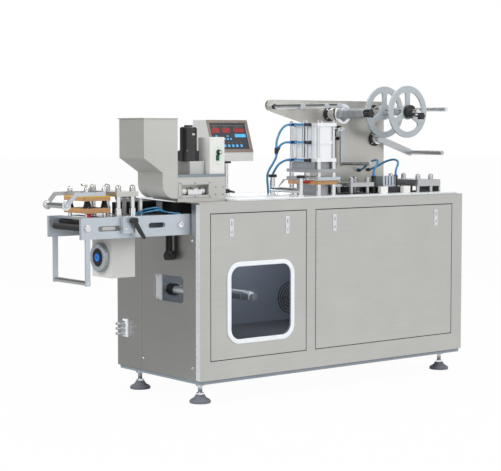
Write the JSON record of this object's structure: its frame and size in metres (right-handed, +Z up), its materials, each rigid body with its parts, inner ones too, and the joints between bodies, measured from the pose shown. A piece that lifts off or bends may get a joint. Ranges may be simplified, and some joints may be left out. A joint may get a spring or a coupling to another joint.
{
  "type": "blister packing machine",
  "caption": "Flat-plate blister packing machine: stainless cabinet with a film line, tablet hopper, sealing press, foil stand with reel and dancer arms, and a swivelling control panel.",
  "frame": {"origin": "middle of the footprint at floor level", "axes": "+X along the film line towards the punch, +Y to the back, +Z up"},
  "size_m": [1.648, 0.478, 1.044],
  "materials": {
    "stainless": "brushed stainless sheet",
    "plate_steel": "ground steel plate",
    "bright_steel": "bright plated steel",
    "aluminium": "anodised aluminium",
    "machine_paint": "light grey paint",
    "frame_paint": "blue grey paint",
    "dark_steel": "dark grey heat-proof coat",
    "cast_flange": "bare casting",
    "board": "insulating laminate board",
    "black_rubber": "black rubber",
    "foot_rubber": "grey rubber",
    "white_rubber": "white rubber seal",
    "black_plastic": "black plastic",
    "grey_plastic": "light grey plastic",
    "clear_pane": "clear plastic pane",
    "blue_hose": "blue air hose"
  },
  "bodies": {
    "machine": {"base_plate": "frame_paint", "foot_pads": "foot_rubber", "foot_rods": "bright_steel", "front_frame": "stainless", "left_panel": "stainless", "right_panel": "stainless", "window_seal": "white_rubber", "window_pane": "clear_pane", "panel_locks": "bright_steel", "rear_wall": "stainless", "left_end_panel": "stainless", "service_panel": "stainless", "right_end_panel": "stainless", "cabinet_top": "stainless", "work_plate": "aluminium", "inner_floor": "frame_paint", "film_spindle": "bright_steel", "fan_grille": "bright_steel", "hose_connectors": "bright_steel", "side_rails": "aluminium", "guide_arms": "bright_steel", "clamp_block": "aluminium", "heating_boards": "board", "heating_fittings": "bright_steel", "forming_station": "plate_steel", "film_track": "aluminium", "drive_box": "machine_paint", "drive_flange": "cast_flange", "conduit": "black_plastic", "hopper": "machine_paint", "feeder_housing": "machine_paint", "feeder_gearbox": "machine_paint", "feeder_motor": "black_plastic", "speed_box": "machine_paint", "panel_post": "bright_steel", "back_plate": "plate_steel", "plate_fittings": "bright_steel", "seal_cylinders": "aluminium", "cylinder_fittings": "black_plastic", "seal_frame": "aluminium", "guide_frame": "bright_steel", "indent_station": "plate_steel", "film_gripper": "aluminium", "punch_station": "plate_steel", "seal_hose_main": "blue_hose", "seal_hose_mid": "blue_hose", "seal_hose_low": "blue_hose", "indent_hose": "blue_hose", "gripper_hose": "blue_hose"},
    "end_roller": {"end_roller": "black_rubber"},
    "upper_guide_roller": {"upper_guide_roller": "bright_steel"},
    "lower_guide_roller": {"lower_guide_roller": "bright_steel"},
    "clamp_lever": {"clamp_lever": "black_plastic"},
    "control_panel": {"control_panel": "machine_paint"},
    "film_reel": {"reel_flanges": "grey_plastic", "reel_shaft": "bright_steel"},
    "foil_spindle": {"foil_spindle": "bright_steel"},
    "left_dancer": {"left_dancer": "plate_steel"},
    "right_dancer": {"right_dancer": "plate_steel"},
    "seal_press": {"heater_block": "dark_steel"}
  },
  "joints": [
    {"name": "end_roller_spin", "type": "hinge", "parent": "machine", "child": "end_roller", "pos_m": [-0.763, -0.085, 0.584], "axis": [0, 1, 0], "continuous": true},
    {"name": "upper_guide_spin", "type": "hinge", "parent": "machine", "child": "upper_guide_roller", "pos_m": [-0.809, -0.085, 0.653], "axis": [0, 1, 0], "continuous": true},
    {"name": "lower_guide_spin", "type": "hinge", "parent": "machine", "child": "lower_guide_roller", "pos_m": [-0.761, -0.085, 0.417], "axis": [0, 1, 0], "continuous": true},
    {"name": "clamp_lever_turn", "type": "hinge", "parent": "machine", "child": "clamp_lever", "pos_m": [-0.61, -0.201, 0.604], "axis": [0, 1, 0], "range_deg": [-90, 45]},
    {"name": "panel_swivel", "type": "hinge", "parent": "machine", "child": "control_panel", "pos_m": [-0.034, 0.071, 0.777], "axis": [0, 0, 1], "range_deg": [-60, 60]},
    {"name": "reel_spin", "type": "hinge", "parent": "machine", "child": "film_reel", "pos_m": [0.628, -0.085, 0.95], "axis": [0, 1, 0], "continuous": true},
    {"name": "foil_spindle_spin", "type": "hinge", "parent": "machine", "child": "foil_spindle", "pos_m": [0.408, -0.085, 0.942], "axis": [0, 1, 0], "continuous": true},
    {"name": "left_dancer_swing", "type": "hinge", "parent": "machine", "child": "left_dancer", "pos_m": [0.45, 0.011, 0.874], "axis": [0, 1, 0], "range_deg": [-15, 35]},
    {"name": "right_dancer_swing", "type": "hinge", "parent": "machine", "child": "right_dancer", "pos_m": [0.632, 0.011, 0.852], "axis": [0, -1, 0], "range_deg": [0, 45]},
    {"name": "press_slide", "type": "slide", "parent": "machine", "child": "seal_press", "axis": [0, 0, -1], "range_m": [0, 0.01]}
  ]
}
